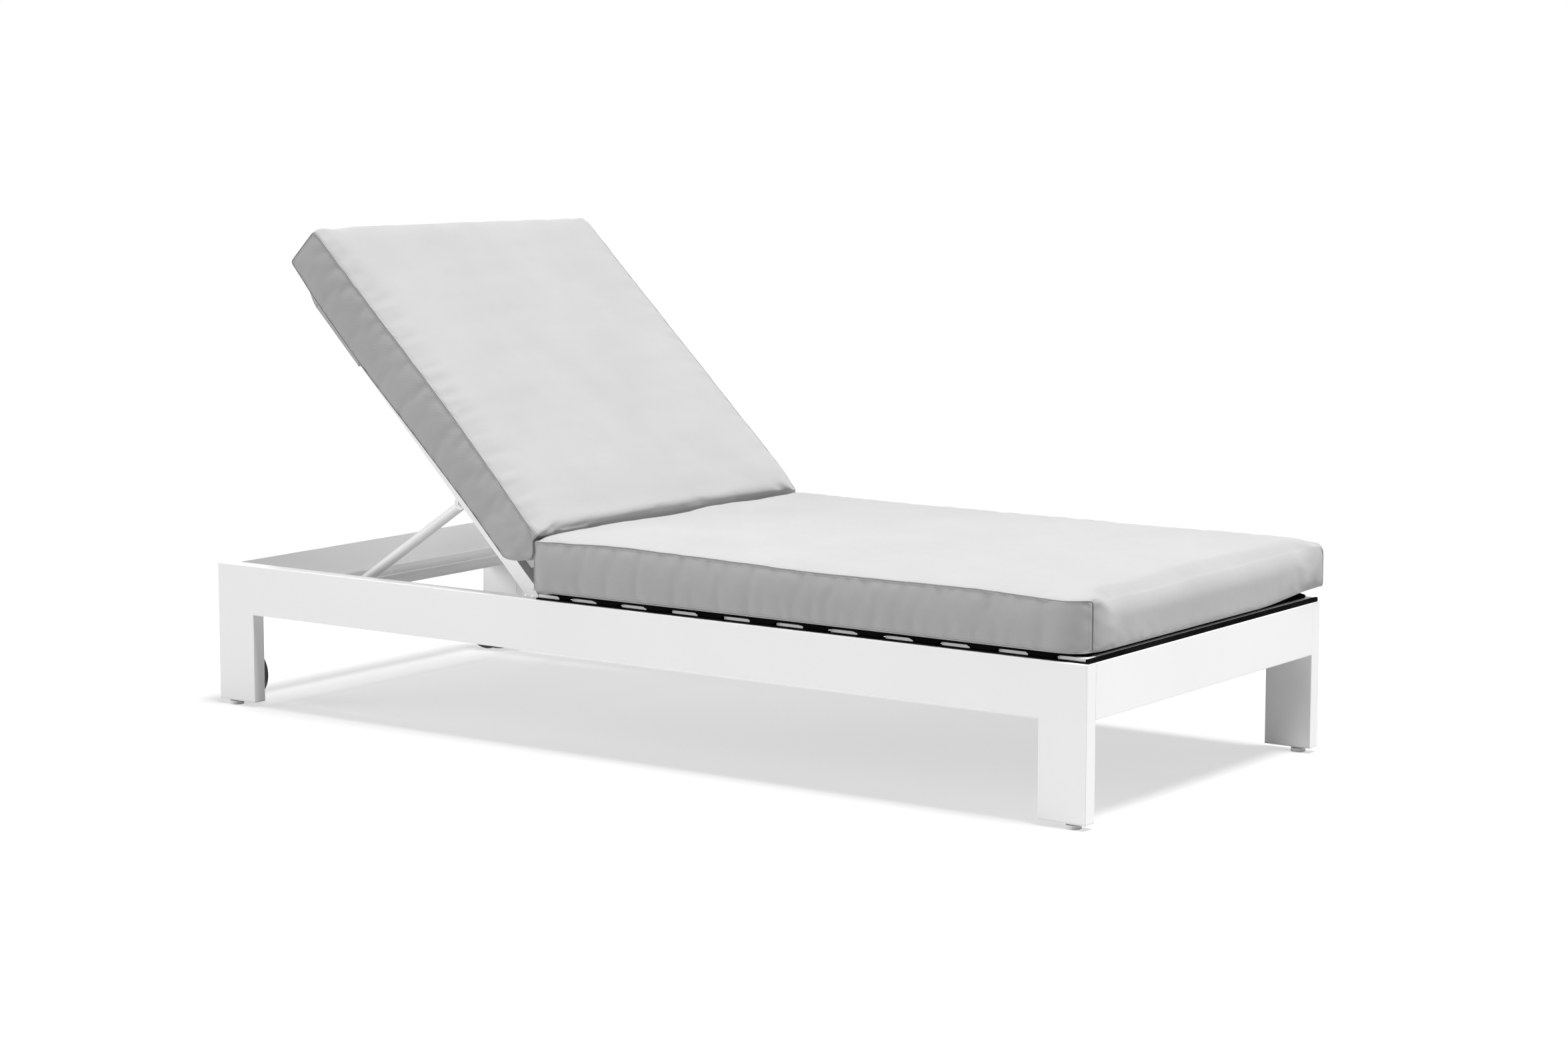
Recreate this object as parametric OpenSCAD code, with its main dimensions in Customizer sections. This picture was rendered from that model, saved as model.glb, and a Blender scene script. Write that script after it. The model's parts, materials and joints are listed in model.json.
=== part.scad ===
// Adjustable lounger: a white tube frame on four legs, with a hinged back on a prop that rests on
// notched racks, two cushions, and two wheels at the head end.
// X runs from the head end to the foot end, Y across the lounger, and Z up from the floor.
// The near side is at negative Y. What repeats on the far side is its mirror image.

/* [Frame] */
// Length of the tube frame
frame_l = 2050; // [1950:10:2200]
// Width of the tube frame
frame_w = 855; // [750:5:1000]
// Height of the rails' top above the floor
rail_top = 290; // [260:5:340]
// Height of a rail
rail_h = 100; // [90:1:120]
// Thickness of the rails and legs
rail_t = 30; // [28:1:40]
// Wall of the rails and legs
rail_wall = 2.5; // [2:0.1:4]
// Rounding of the rails' and legs' edges
rail_edge = 1.5; // [1:0.1:3]
// Length of a leg along the side rail
leg_l = 97; // [85:1:120]
// Diameter of a glide under a leg
glide_d = 28; // [20:1:32]
// Height of a glide
glide_h = 10; // [8:1:20]

/* [Seat] */
// Number of seat slats between the end slat and the foot rail
slat_count = 10; // [8:1:10]
// Width of a seat slat
slat_w = 58; // [40:1:70]
// Width of the end slat beside the hinge
end_slat_w = 50; // [40:1:55]
// Thickness of the seat slats
slat_t = 6; // [4:0.5:8]
// Width of the bearing strips under the slats
strip_w = 20; // [14:1:24]
// Thickness of the bearing strips
strip_t = 2.5; // [1.5:0.5:5]

/* [Back] */
// Angle of the back above flat in its highest notch
recline = 45; // [30:1:50]
// Width of a back tube
back_tube_w = 25; // [20:1:30]
// Depth of a back tube
back_tube_d = 30; // [24:1:34]
// Wall of the back's tubes
back_wall = 2; // [1.5:0.1:3]
// Number of back slats
back_slat_count = 6; // [4:1:6]
// Width of a back slat
back_slat_w = 60; // [40:1:70]
// Thickness of a back slat
back_slat_t = 6; // [4:0.5:8]
// Width of the back's cross tubes
back_cross_w = 25; // [20:1:30]
// Diameter of the hinge pins and wheel axles
pin_d = 10; // [8:0.5:12]

/* [Prop and racks] */
// Distance of the prop's pivot up the back from the hinge
pivot_up = 261; // [240:1:280]
// Distance of the prop's pivot behind the middle of the back tubes
pivot_behind = 32; // [30:1:36]
// Length of the prop from pivot to foot bar
prop_l = 348; // [330:1:380]
// Diameter of the prop's arms
arm_d = 21; // [14:1:21]
// Diameter of the prop's foot bar and of the fixed cross tube
bar_d = 22; // [20:1:24]
// Wall of the prop's tubes and of the fixed cross tube
bar_wall = 1.5; // [1:0.1:2.5]
// Drop of the foot bar's middle below the rails' top
bar_drop = 32; // [31:1:36]
// Thickness of a rack
rack_t = 12; // [8:1:14]
// Number of notches in a rack
rack_notches = 4; // [3:1:5]

/* [Wheels] */
// Radius of a wheel
wheel_r = 56; // [48:1:60]
// Width of a wheel
wheel_w = 26; // [20:1:32]
// Distance that the wheels stand out past the head end
wheel_out = 29; // [8:1:34]
// Height of the wheels above the floor
wheel_lift = 2.4; // [1.5:0.1:6]

/* [Cushions] */
// Thickness of the seat cushion at its seams
seat_pad_t = 94; // [70:1:110]
// Thickness of the back cushion at its seams
back_pad_t = 90; // [70:1:96]
// Rise of a cushion's middle over its seams
pad_crown = 10; // [4:1:16]
// Depth that a cushion's sides are drawn in
pad_waist = 4; // [1:0.5:8]
// Radius of the seat cushion's upright corners
seat_pad_corner = 32; // [20:1:50]
// Radius of the back cushion's corners
back_pad_corner = 18; // [12:1:40]
// Distance that the back cushion slides down the back frame as the back goes flat
pad_slide = 90; // [80:1:110]
// Thickness of the pocket's cloth
hood_t = 1.5; // [1:0.1:3]
// Length of the pocket down the back cushion
hood_l = 249; // [220:1:300]

/* [Fits] */
// Radial clearance of a pin in its bush, hub or eye
pin_fit = 0.05; // [0.02:0.01:0.1]
// Radial clearance of a screw or a pressed piece in its hole
press_fit = 0.05; // [0.02:0.01:0.1]
// Sideways play between a turning piece and its washer
side_play = 0.3; // [0.2:0.05:0.6]
// Gap between a cushion and what carries it
soft_gap = 0.3; // [0.2:0.05:0.6]
// Gap under the foot bar as it passes over the racks' tips
rack_gap = 0.4; // [0.3:0.05:1]

/* [Hidden] */

white = [0.94, 0.94, 0.93];
pad_grey = [0.78, 0.79, 0.80];
black = [0.06, 0.06, 0.06];
steel = [0.72, 0.73, 0.74];
nylon = [0.85, 0.85, 0.82];

$fn = 48;
edge_fn = 24;
// Overrun of every cut past the face that it breaks
over = 1;

// Places of the frame
foot_x = (frame_l + wheel_out) / 2;
head_x = foot_x - frame_l;
outer_y = frame_w / 2;
inner_y = outer_y - rail_t;
rail_bottom = rail_top - rail_h;
hinge_drop = 1;
hinge_z = rail_top - hinge_drop;

// From the head rail to the hinge: the fixed cross tube, the racks, and the prop when the back is flat
cross_from_head = 105;
cross_from_rack = 31;
rack_end = 28;
bar_z = rail_top - bar_drop;
prop_tilt_flat = asin((hinge_z - pivot_behind - bar_z) / prop_l);
cross_x = head_x + rail_t + cross_from_head;
rack_x0 = cross_x + cross_from_rack;
bar_flat_x = rack_x0 + rack_end;
hinge_x = bar_flat_x + prop_l * cos(prop_tilt_flat) + pivot_up;

// Leg plugs and glides: flange under the tube, spigot inside it, stem of the glide
plug_flange = 3;
plug_spigot = 15;
plug_gap = 0.1;
glide_in = 32.5;
glide_pad_h_share = 0.7;
glide_neck_d = 12;
stem_d = 8;
stem_l = 24;
leg_low = glide_h + plug_flange;

// Seat slats: places along the rails and on the strips
strip_in = 6.5;
slat_end_in = 14;
slat_screw_in = 7.5;
slat_edge = 1;
end_slat_from_hinge = 29;
slat_from_hinge = 111;
slat_foot_gap = 9;
foot_strip_w = 5.5;
foot_strip_in = 2;
foot_strip_h = 8;
slat_z = rail_top + strip_t;
slat_half = outer_y - slat_end_in;
end_slat_x = hinge_x + end_slat_from_hinge;
slat_x0 = hinge_x + slat_from_hinge;
slat_pitch = (foot_x - slat_foot_gap - slat_w - slat_x0) / (slat_count - 1);
slat_screw_y = slat_half - slat_screw_in;

// Countersunk slat screws
slat_screw_d = 4;
slat_screw_head_d = 8;
slat_screw_head_h = 2;
slat_screw_past = 3;

// Hinge: plate on the rail, washer, back tube, washer and cap nut, counted inwards from the rail
plate_t = 5;
lug_r = 14;
plate_low = 60;
plate_screw_low = 50;
plate_screw_high = 34;
washer_t = 1.5;
washer_over = 10;
bush_wall = 2;
cap_nut_w = 17;
cap_nut_h = 8;
cap_dome_r = 6.5;
pin_in_nut = 5;
plate_in_y = inner_y - plate_t;
back_out_y = plate_in_y - washer_t - side_play;
back_in_y = back_out_y - back_tube_w;
hinge_nut_y = back_in_y - side_play - washer_t;

// Back frame, drawn flat: X runs up the back as negative numbers, Z is its front normal
back_end_gap = 10;
back_plug_t = 3;
back_plug_in = 14;
lug_solid = 22;
back_bottom_from = 30;
back_l = hinge_x - head_x - rail_t - back_end_gap;
back_front = back_tube_d / 2;
back_tube_l = back_l - back_plug_t;
back_top_from = back_tube_l - back_cross_w;
back_slat_room = back_top_from - back_bottom_from - back_cross_w - back_slat_count * back_slat_w;
back_slat_gap = back_slat_room / (back_slat_count + 1);

// Prop: bracket, washers, eye and bolt, counted inwards from the back tube
bracket_t = 5;
bracket_half = 21;
bracket_up = 5;
bracket_lug_r = 14;
eye_d = 26;
eye_l = 23;
pivot_d = 8;
pivot_washer_d = 16;
pivot_head_d = 14;
pivot_head_h = 5;
pivot_nut_w = 13;
pivot_nut_h = 6.5;
pivot_past = 2;
bracket_in_y = back_in_y - bracket_t;
eye_out_y = bracket_in_y - washer_t - side_play;
eye_in_y = eye_out_y - eye_l;
arm_y = eye_in_y + eye_l / 2;
pivot_head_y = eye_in_y - side_play - washer_t;
arm_skin = 1.5;

// Prop's places in the world, in its highest notch
bar_end_gap = 5.5;
bar_cap_t = 3;
bar_cap_in = 12;
bar_half = inner_y - bar_end_gap - bar_cap_t;
pivot_x = hinge_x - pivot_up * cos(recline) - pivot_behind * sin(recline);
pivot_z = hinge_z + pivot_up * sin(recline) - pivot_behind * cos(recline);
prop_tilt = asin((pivot_z - bar_z) / prop_l);
bar_x = pivot_x - prop_l * cos(prop_tilt);

// Racks under the foot bar's path, and the fixed cross tube beyond them
rack_h = 30;
notch_r = 12;
notch_deep = 7;
rack_screw_up = 8;
rack_screw_in = 10;
cross_drop = 50;
rack_top = bar_z - bar_d / 2 - rack_gap;
rack_x1 = bar_x + rack_end;
notch_pitch = (bar_x - bar_flat_x) / (rack_notches - 1);
cross_z = rail_top - cross_drop;

// Button screws of the hinge plates and racks
screw_d = 5;
screw_head_d = 9;
screw_head_h = 2.8;
screw_socket_d = 3.5;
screw_socket_h = 1.6;
screw_past = 3;

// Wheels: tyre on a hub, on a stub axle through the leg's inner wall
hub_r = 40;
rim_t = 6;
rim_in = 2;
web_t = 7;
boss_r = 12;
tyre_shoulder = 6;
wheel_x = head_x - wheel_out + wheel_r;
wheel_z = wheel_r + wheel_lift;
wheel_out_y = inner_y - washer_t - side_play;
wheel_in_y = wheel_out_y - wheel_w;
wheel_nut_y = wheel_in_y - side_play - washer_t;

// Cushions: seat cushion on its base, back cushion on the back frame, and the pocket behind it
base_t = 5.2;
base_in = 15.5;
base_side = 20;
seat_pad_start = 27;
pad_joint_gap = 3;
pad_over = 3;
pad_roll = 5;
bead = 2;
hood_gap = 1;
seat_pad_z = slat_z + slat_t + soft_gap + base_t;
seat_pad_x = hinge_x + seat_pad_start;
back_pad_low = pad_slide - seat_pad_start + pad_joint_gap;
back_pad_high = pad_slide + back_l + pad_over;
back_pad_l = back_pad_high - back_pad_low;
hood_half = back_out_y + hood_gap + hood_t;
hood_behind = back_front + hood_gap + hood_t;
arc_n = 7;
long_n = 12;
short_n = 6;
// Rings of the top panel, from the seam to the middle, as shares of the outline
top_shares = [0.965, 0.9, 0.78, 0.6, 0.36];

module mirrored() {
    children();
    mirror([0, 1, 0]) children();
}

module rounded_rect(w, h, r) {
    translate([r, 0]) square([w - 2 * r, h]);
    translate([0, r]) square([w, h - 2 * r]);
    for (x = [r, w - r], y = [r, h - r]) {
        translate([x, y]) circle(r, $fn = edge_fn);
    }
}

// Rectangle with its two upper corners rounded
module top_rounded_rect(w, h, r) {
    square([w, h - r]);
    translate([r, 0]) square([w - 2 * r, h]);
    for (x = [r, w - r]) {
        translate([x, h - r]) circle(r, $fn = edge_fn);
    }
}

// An outline in Y and Z, drawn out along X
module along_x(x0, x1) {
    translate([x0, 0, 0]) rotate([90, 0, 90]) linear_extrude(x1 - x0) children();
}

// An outline in X and Z, drawn out along Y
module along_y(y0, y1) {
    translate([0, y1, 0]) rotate([90, 0, 0]) linear_extrude(y1 - y0) children();
}

module rod_y(y0, y1, d) {
    translate([0, y1, 0]) rotate([90, 0, 0]) cylinder(d = d, h = y1 - y0);
}

// A block between two corners
module block(low, high) {
    translate(low) cube(high - low);
}

// The back's flat drawing, tilted up about the hinge
module on_back() {
    translate([hinge_x, 0, hinge_z]) rotate([0, recline, 0]) children();
}

// The prop's drawing, from its pivot along negative X, tilted down to its foot bar
module on_prop() {
    translate([pivot_x, 0, pivot_z]) rotate([0, -prop_tilt, 0]) children();
}

module side_rail() {
    cavity_h = rail_h - 2 * rail_wall;
    difference() {
        intersection() {
            along_x(head_x, foot_x)
                translate([-outer_y, rail_bottom]) top_rounded_rect(rail_t, rail_h, rail_edge);
            translate([head_x, -outer_y, rail_bottom - over])
                linear_extrude(rail_h + 2 * over) rounded_rect(frame_l, rail_t, rail_edge);
        }
        block([head_x + rail_wall, rail_wall - outer_y, rail_bottom + rail_wall],
              [foot_x - rail_wall, -inner_y - rail_wall, rail_bottom + rail_wall + cavity_h]);
        for (x = screw_slat_xs) {
            translate([x, -slat_screw_y, rail_top - rail_wall - over])
                cylinder(d = slat_screw_d + 2 * press_fit, h = rail_wall + 2 * over);
        }
        for (p = frame_screw_places) {
            translate([p[0], 0, p[1]])
                rod_y(-inner_y - rail_wall - over, over - inner_y, screw_d + 2 * press_fit);
        }
    }
}

module end_rail(x0) {
    along_y(-inner_y, inner_y) {
        difference() {
            translate([x0, rail_bottom]) rounded_rect(rail_t, rail_h, rail_edge);
            translate([x0 + rail_wall, rail_bottom + rail_wall])
                square([rail_t - 2 * rail_wall, rail_h - 2 * rail_wall]);
        }
    }
}

// A leg under the near side rail, from x0 towards the foot end
module leg_tube(x0) {
    translate([x0, -outer_y, leg_low]) {
        linear_extrude(rail_bottom - leg_low) {
            difference() {
                rounded_rect(leg_l, rail_t, rail_edge);
                translate([rail_wall, rail_wall]) square([leg_l - 2 * rail_wall, rail_t - 2 * rail_wall]);
            }
        }
    }
}

module head_leg() {
    difference() {
        leg_tube(head_x);
        translate([wheel_x, 0, wheel_z])
            rod_y(-inner_y - rail_wall - over, over - inner_y, pin_d + 2 * press_fit);
    }
}

module foot_leg() {
    leg_tube(foot_x - leg_l);
}

// Middle of each glide along X, and its leg's start
leg_starts = [head_x, foot_x - leg_l];
glide_xs = [head_x + glide_in, foot_x - glide_in];
leg_mid_y = outer_y - rail_t / 2;

module leg_plug(i) {
    inset = rail_wall + plug_gap;
    difference() {
        union() {
            translate([leg_starts[i], -outer_y, glide_h])
                linear_extrude(plug_flange) rounded_rect(leg_l, rail_t, rail_edge);
            block([leg_starts[i] + inset, inset - outer_y, leg_low - over],
                  [leg_starts[i] + leg_l - inset, -inner_y - inset, leg_low + plug_spigot]);
        }
        translate([glide_xs[i], -leg_mid_y, glide_h - over])
            cylinder(d = stem_d + 2 * press_fit, h = plug_flange + plug_spigot + 2 * over);
    }
}

module leg_glide(i) {
    pad_h = glide_h * glide_pad_h_share;
    translate([glide_xs[i], -leg_mid_y, 0]) {
        cylinder(d = glide_d, h = pad_h);
        cylinder(d = glide_neck_d, h = glide_h);
        cylinder(d = stem_d, h = glide_h + stem_l);
    }
}

module head_cross_tube() {
    color(white) translate([cross_x, 0, cross_z]) difference() {
        rod_y(-inner_y, inner_y, bar_d);
        rod_y(-inner_y - over, inner_y + over, bar_d - 2 * bar_wall);
    }
}

// Start of each slat along X, with the end slat first, and the middles that take its screws
slat_starts = [for (i = [0 : slat_count - 1]) slat_x0 + i * slat_pitch];
screw_slat_xs = concat([end_slat_x + end_slat_w / 2], [for (x = slat_starts) x + slat_w / 2]);

// Middles of the button screws on the near side, in X and Z
frame_screw_places = [
    [hinge_x, hinge_z - plate_screw_low],
    [hinge_x, hinge_z - plate_screw_high],
    [rack_x0 + rack_screw_in, rack_top - rack_h + rack_screw_up],
    [(rack_x0 + rack_x1) / 2, rack_top - rack_h + rack_screw_up],
    [rack_x1 - rack_screw_in, rack_top - rack_h + rack_screw_up]
];

module slat_bar(x0, w) {
    hole_d = slat_screw_d + 2 * press_fit;
    head_d = slat_screw_head_d + 2 * press_fit;
    color(white) difference() {
        along_y(-slat_half, slat_half) translate([x0, slat_z]) rounded_rect(w, slat_t, slat_edge);
        for (side = [-1, 1]) {
            translate([x0 + w / 2, side * slat_screw_y, slat_z]) {
                translate([0, 0, -over]) cylinder(d = hole_d, h = slat_t + 2 * over);
                translate([0, 0, slat_t - slat_screw_head_h])
                    cylinder(d1 = hole_d, d2 = head_d, h = slat_screw_head_h);
            }
        }
    }
}

module slat_screw(x) {
    below = slat_z + slat_t - rail_top + rail_wall + slat_screw_past;
    translate([x, -slat_screw_y, slat_z + slat_t - below])
        cylinder(d = slat_screw_d, h = below - slat_screw_head_h);
    translate([x, -slat_screw_y, slat_z + slat_t - slat_screw_head_h])
        cylinder(d1 = slat_screw_d, d2 = slat_screw_head_d, h = slat_screw_head_h);
}

module rail_strips() {
    color(black) {
        mirrored() difference() {
            block([end_slat_x, strip_in - outer_y, rail_top],
                  [foot_x - slat_foot_gap, strip_in + strip_w - outer_y, slat_z]);
            for (x = screw_slat_xs) {
                translate([x, -slat_screw_y, rail_top - over])
                    cylinder(d = slat_screw_d + 2 * press_fit, h = strip_t + 2 * over);
            }
        }
        block([foot_x - foot_strip_in - foot_strip_w, strip_in - outer_y, rail_top],
              [foot_x - foot_strip_in, outer_y - strip_in, rail_top + foot_strip_h]);
    }
}

module seat_underside() {
    color(black)
        block([hinge_x + seat_pad_start + base_in, base_in - outer_y, seat_pad_z - base_t],
              [foot_x - base_side, outer_y - base_in, seat_pad_z]);
}

// One corner of a rounded outline: its centre, counted anticlockwise from the far foot corner
function corner_at(c, l, w, r) = [
    (c == 0 || c == 3 ? 1 : -1) * (l / 2 - r),
    (c < 2 ? 1 : -1) * (w / 2 - r)
];
function arc_point(c, k, l, w, r) =
    corner_at(c % 4, l, w, r) + r * [cos(90 * (c + k / arc_n)), sin(90 * (c + k / arc_n))];
// Rounded outline as points: four arcs, with evenly spaced points on the straights between them
function outline(l, w, r) = [
    for (c = [0 : 3]) each concat(
        [for (k = [0 : arc_n]) arc_point(c, k, l, w, r)],
        between(arc_point(c, arc_n, l, w, r), arc_point(c + 1, 0, l, w, r), c % 2 == 0 ? long_n : short_n)
    )
];
// Points that share out the line from a to b, without its ends
function between(a, b, n) = [for (k = [1 : n - 1]) a + (b - a) * k / n];
// Rows up a cushion's side: how far each is drawn in, and its height
function side_rows(t) = [
    [pad_roll, 0],
    [bead, pad_roll - bead],
    [0, pad_roll],
    [bead, pad_roll + bead],
    [pad_waist, t / 3],
    [pad_waist, t - t / 3],
    [bead, t - pad_roll - bead],
    [0, t - pad_roll],
    [bead, t - pad_roll + bead],
    [pad_roll, t]
];
// Rise of the crown at a point of the plan: none at the seams, all of it in the middle
function rise(p, l, w) = pad_crown * (1 - pow(abs(2 * p[0] / l), 3)) * (1 - pow(abs(2 * p[1] / w), 3));

// A boxed cushion with its base on Z 0 and its middle on the Z axis
module cushion(l, w, t, r) {
    rows = side_rows(t);
    edge = outline(l - 2 * pad_roll, w - 2 * pad_roll, r - pad_roll);
    n = len(edge);
    side_points = [
        for (row = rows) each [
            for (p = outline(l - 2 * row[0], w - 2 * row[0], r - row[0])) [p[0], p[1], row[1]]
        ]
    ];
    top_points = [
        for (f = top_shares) each [
            for (p = edge) [p[0] * f, p[1] * f, t + rise(p * f, l - 2 * pad_roll, w - 2 * pad_roll)]
        ]
    ];
    points = concat(side_points, top_points, [[0, 0, 0], [0, 0, t + pad_crown]]);
    rings = len(rows) + len(top_shares);
    low = rings * n;
    high = low + 1;
    bands = [
        for (j = [0 : rings - 2], i = [0 : n - 1]) let (a = j * n + i, b = j * n + (i + 1) % n) each [
            [a, a + n, b + n],
            [a, b + n, b]
        ]
    ];
    base = [for (i = [0 : n - 1]) [low, i, (i + 1) % n]];
    top = [for (i = [0 : n - 1]) [high, (rings - 1) * n + (i + 1) % n, (rings - 1) * n + i]];
    polyhedron(points, concat(bands, base, top));
}

module seat_cushion() {
    l = foot_x - seat_pad_x;
    color(pad_grey) translate([seat_pad_x + l / 2, 0, seat_pad_z])
        cushion(l, frame_w, seat_pad_t, seat_pad_corner);
}

module hinge_plate() {
    difference() {
        along_y(-inner_y, -plate_in_y) {
            translate([hinge_x, hinge_z]) circle(lug_r);
            translate([hinge_x - lug_r, hinge_z - plate_low]) square([2 * lug_r, plate_low]);
        }
        translate([hinge_x, 0, hinge_z]) rod_y(-inner_y - over, over - plate_in_y, pin_d + 2 * press_fit);
        for (i = [0, 1]) {
            translate([frame_screw_places[i][0], 0, frame_screw_places[i][1]])
                rod_y(-inner_y - over, over - plate_in_y, screw_d + 2 * press_fit);
        }
    }
}

module hinge_pin() {
    translate([hinge_x, 0, hinge_z]) rod_y(-inner_y, pin_in_nut - hinge_nut_y, pin_d);
}

// A washer on the near side whose outer face is at negative y
module washer(x, z, y, bore, d) {
    translate([x, 0, z]) difference() {
        rod_y(-y, washer_t - y, d);
        rod_y(-y - over, washer_t - y + over, bore);
    }
}

module axle_washers() {
    bore = pin_d + 2 * press_fit;
    d = pin_d + washer_over;
    color(steel) mirrored() {
        washer(hinge_x, hinge_z, plate_in_y, bore, d);
        washer(hinge_x, hinge_z, back_in_y - side_play, bore, d);
        washer(wheel_x, wheel_z, inner_y, bore, d);
        washer(wheel_x, wheel_z, wheel_in_y - side_play, bore, d);
    }
}

// A domed nut on the near side whose seat is at negative y
module cap_nut(x, z, y) {
    translate([x, 0, z]) difference() {
        union() {
            translate([0, cap_nut_h - y, 0]) rotate([90, 0, 0])
                cylinder(d = cap_nut_w / cos(30), h = cap_nut_h, $fn = 6);
            intersection() {
                translate([0, cap_nut_h - y, 0]) sphere(r = cap_dome_r);
                rod_y(cap_nut_h - y - over, cap_nut_h - y + 2 * cap_dome_r, 2 * cap_dome_r + over);
            }
        }
        rod_y(-y - over, pin_in_nut - y + side_play, pin_d + 2 * press_fit);
    }
}

module frame_screw(x, z, seat_y) {
    translate([x, 0, z]) difference() {
        union() {
            rod_y(-inner_y - rail_wall - screw_past, -seat_y, screw_d);
            rod_y(-seat_y, screw_head_h - seat_y, screw_head_d);
        }
        translate([0, screw_head_h - seat_y + over, 0]) rotate([90, 0, 0])
            cylinder(d = screw_socket_d / cos(30), h = screw_socket_h + over, $fn = 6);
    }
}

module frame_screws() {
    color(steel) mirrored() {
        for (i = [0 : len(frame_screw_places) - 1]) {
            p = frame_screw_places[i];
            frame_screw(p[0], p[1], i < 2 ? plate_in_y : inner_y - rack_t);
        }
    }
}

module rack() {
    difference() {
        along_y(-inner_y, rack_t - inner_y) {
            difference() {
                translate([rack_x0, rack_top - rack_h]) square([rack_x1 - rack_x0, rack_h]);
                for (i = [0 : rack_notches - 1]) {
                    translate([bar_flat_x + i * notch_pitch, rack_top + notch_r - notch_deep])
                        circle(notch_r);
                }
            }
        }
        for (i = [2 : len(frame_screw_places) - 1]) {
            translate([frame_screw_places[i][0], 0, frame_screw_places[i][1]])
                rod_y(-inner_y - over, rack_t - inner_y + over, screw_d + 2 * press_fit);
        }
    }
}

module wheel_axle() {
    translate([wheel_x, 0, wheel_z]) rod_y(-inner_y - rail_wall, pin_in_nut - wheel_nut_y, pin_d);
}

module at_wheel() {
    translate([wheel_x, -wheel_out_y, wheel_z]) rotate([-90, 0, 0]) children();
}

module wheel_tyre() {
    at_wheel() rotate_extrude() translate([hub_r + press_fit, wheel_w]) rotate(-90)
        top_rounded_rect(wheel_w, wheel_r - hub_r - press_fit, tyre_shoulder);
}

module wheel_hub() {
    bore_r = pin_d / 2 + pin_fit;
    at_wheel() rotate_extrude() {
        translate([bore_r, 0]) square([boss_r - bore_r, wheel_w]);
        translate([bore_r, (wheel_w - web_t) / 2]) square([hub_r - bore_r, web_t]);
        translate([hub_r - rim_t, rim_in]) square([rim_t, wheel_w - 2 * rim_in]);
    }
}

module hinge_bush() {
    on_back() difference() {
        rod_y(-back_out_y, -back_in_y, pin_d + 2 * bush_wall);
        rod_y(-back_out_y - over, over - back_in_y, pin_d + 2 * pin_fit);
    }
}

module back_tube() {
    on_back() difference() {
        along_y(-back_out_y, -back_in_y) {
            circle(back_tube_d / 2);
            translate([-back_tube_l, -back_tube_d / 2]) square([back_tube_l, back_tube_d]);
        }
        block([-back_tube_l - over, back_wall - back_out_y, back_wall - back_tube_d / 2],
              [-lug_solid, -back_in_y - back_wall, back_tube_d / 2 - back_wall]);
        rod_y(-back_out_y - over, over - back_in_y, pin_d + 2 * bush_wall + 2 * press_fit);
    }
}

module back_plug() {
    inset = back_wall + plug_gap;
    on_back() {
        block([-back_l, -back_out_y, -back_tube_d / 2], [-back_tube_l, -back_in_y, back_tube_d / 2]);
        block([-back_tube_l - over, inset - back_out_y, inset - back_tube_d / 2],
              [back_plug_in - back_tube_l, -back_in_y - inset, back_tube_d / 2 - inset]);
    }
}

module back_cross_tube(from) {
    color(white) on_back() along_y(-back_in_y, back_in_y) difference() {
        translate([-from - back_cross_w, back_front - back_cross_w]) square(back_cross_w);
        translate([back_wall - from - back_cross_w, back_front - back_cross_w + back_wall])
            square(back_cross_w - 2 * back_wall);
    }
}

module back_slat(i) {
    from = back_bottom_from + back_cross_w + back_slat_gap + i * (back_slat_w + back_slat_gap);
    color(white) on_back() along_y(-back_in_y, back_in_y)
        translate([-from - back_slat_w, back_front - back_slat_t])
            rounded_rect(back_slat_w, back_slat_t, slat_edge);
}

module prop_bracket() {
    on_back() difference() {
        along_y(-back_in_y, -bracket_in_y) {
            translate([-pivot_up, -pivot_behind]) circle(bracket_lug_r);
            polygon([
                [-pivot_up - bracket_half, bracket_up], [-pivot_up + bracket_half, bracket_up],
                [-pivot_up + bracket_half, -back_tube_d / 2], [-pivot_up + bracket_lug_r, -pivot_behind],
                [-pivot_up - bracket_lug_r, -pivot_behind], [-pivot_up - bracket_half, -back_tube_d / 2]
            ]);
        }
        translate([-pivot_up, 0, -pivot_behind])
            rod_y(-back_in_y - over, over - bracket_in_y, pivot_d + 2 * press_fit);
    }
}

// The pivot's place on the back's flat drawing
module at_pivot() {
    on_back() translate([-pivot_up, 0, -pivot_behind]) children();
}

module prop_pivot_bolt() {
    at_pivot() {
        rod_y(-back_in_y - pivot_nut_h - pivot_past, -pivot_head_y, pivot_d);
        rod_y(-pivot_head_y, pivot_head_h - pivot_head_y, pivot_head_d);
    }
}

module prop_pivot_washer(y) {
    at_pivot() difference() {
        rod_y(-y, washer_t - y, pivot_washer_d);
        rod_y(-y - over, washer_t - y + over, pivot_d + 2 * press_fit);
    }
}

module prop_pivot_nut() {
    at_pivot() difference() {
        translate([0, -back_in_y, 0]) rotate([90, 0, 0])
            cylinder(d = pivot_nut_w / cos(30), h = pivot_nut_h, $fn = 6);
        rod_y(-back_in_y - pivot_nut_h - over, over - back_in_y, pivot_d + 2 * press_fit);
    }
}

module prop_arm() {
    inner_from = eye_d / 2 + arm_skin;
    on_prop() difference() {
        union() {
            rod_y(-eye_out_y, -eye_in_y, eye_d);
            translate([-prop_l, -arm_y, 0]) rotate([0, 90, 0]) cylinder(d = arm_d, h = prop_l);
        }
        translate([-prop_l, -arm_y, 0]) rotate([0, 90, 0])
            cylinder(d = arm_d - 2 * bar_wall, h = prop_l - inner_from);
        rod_y(-eye_out_y - over, over - eye_in_y, pivot_d + 2 * pin_fit);
        translate([-prop_l, 0, 0]) rod_y(-eye_out_y - over, over - eye_in_y, bar_d);
    }
}

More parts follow.
